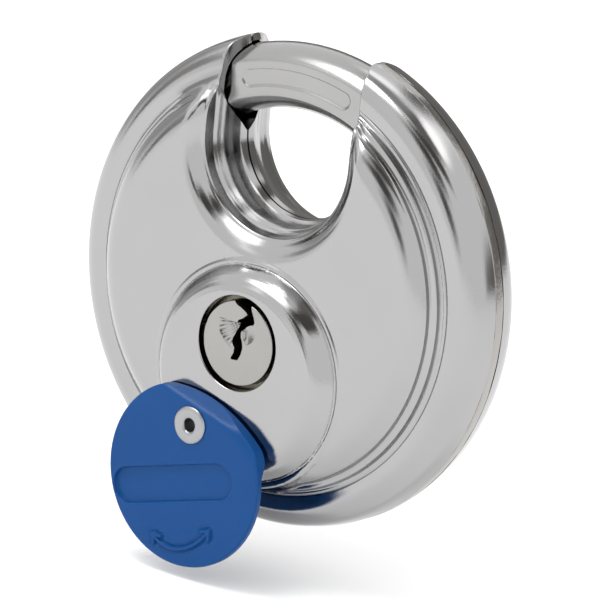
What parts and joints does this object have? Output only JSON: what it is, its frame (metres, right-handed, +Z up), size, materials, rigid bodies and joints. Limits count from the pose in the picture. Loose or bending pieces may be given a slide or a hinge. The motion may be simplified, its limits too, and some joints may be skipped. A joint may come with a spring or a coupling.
{
  "type": "disc padlock",
  "caption": "Round disc padlock: drawn steel case, curved shackle that turns out of the rim, pin-tumbler cylinder and a swinging keyhole cover.",
  "frame": {"origin": "centre of the case on its flat back face", "axes": "+Y out of the back face, along the case axis; +Z up towards the exposed shackle; +X to the right seen from the keyhole side, which faces -Y"},
  "size_m": [0.06, 0.0214, 0.0635],
  "materials": {
    "case_steel": "drawn stainless steel, polished",
    "weld_steel": "ground weld bead",
    "shackle_steel": "hardened stainless, tumbled satin",
    "mechanism_steel": "plain pressed steel",
    "cylinder_brass": "machined brass",
    "plug_nickel": "nickel-plated brass, fine turned face",
    "pin_brass": "turned brass",
    "spring_steel": "drawn spring wire",
    "cover_plastic": "blue moulded plastic, satin",
    "eyelet_metal": "bare eyelet, soft satin"
  },
  "bodies": {
    "case": {"front_shell": "case_steel", "back_shell": "case_steel", "weld_band": "weld_steel", "pivot_post": "mechanism_steel", "cylinder_housing": "cylinder_brass", "chamber_cap": "cylinder_brass", "cover_eyelet": "eyelet_metal", "cover_washer": "eyelet_metal", "driver_pin_1": "pin_brass", "driver_pin_2": "pin_brass", "driver_pin_3": "pin_brass", "driver_pin_4": "pin_brass", "driver_pin_5": "pin_brass", "chamber_spring_1": "spring_steel", "chamber_spring_2": "spring_steel", "chamber_spring_3": "spring_steel", "chamber_spring_4": "spring_steel", "chamber_spring_5": "spring_steel"},
    "cylinder_plug": {"plug": "plug_nickel", "crank_lever": "mechanism_steel", "crank_pin": "mechanism_steel", "key_pin_1": "pin_brass", "key_pin_2": "pin_brass", "key_pin_3": "pin_brass", "key_pin_4": "pin_brass", "key_pin_5": "pin_brass"},
    "shackle_swing": {"shackle": "shackle_steel", "shackle_carrier": "mechanism_steel", "carrier_pin": "mechanism_steel"},
    "cover": {"keyhole_cover": "cover_plastic"}
  },
  "joints": [
    {"name": "shackle_turn", "type": "hinge", "parent": "case", "child": "shackle_swing", "pos_m": [0, -0.008, 0], "axis": [0, -1, 0], "range_deg": [-62, 0]},
    {"name": "plug_turn", "type": "hinge", "parent": "case", "child": "cylinder_plug", "pos_m": [0, -0.0142, -0.00635], "axis": [0, -1, 0], "range_deg": [-124, 0]},
    {"name": "cover_swing", "type": "hinge", "parent": "case", "child": "cover", "pos_m": [-0.004, -0.02, -0.017], "axis": [0, -1, 0], "range_deg": [-196.7, 163.3]}
  ],
  "couplings": [
    {"joint": "plug_turn", "follows": "shackle_turn", "ratio": 2}
  ]
}
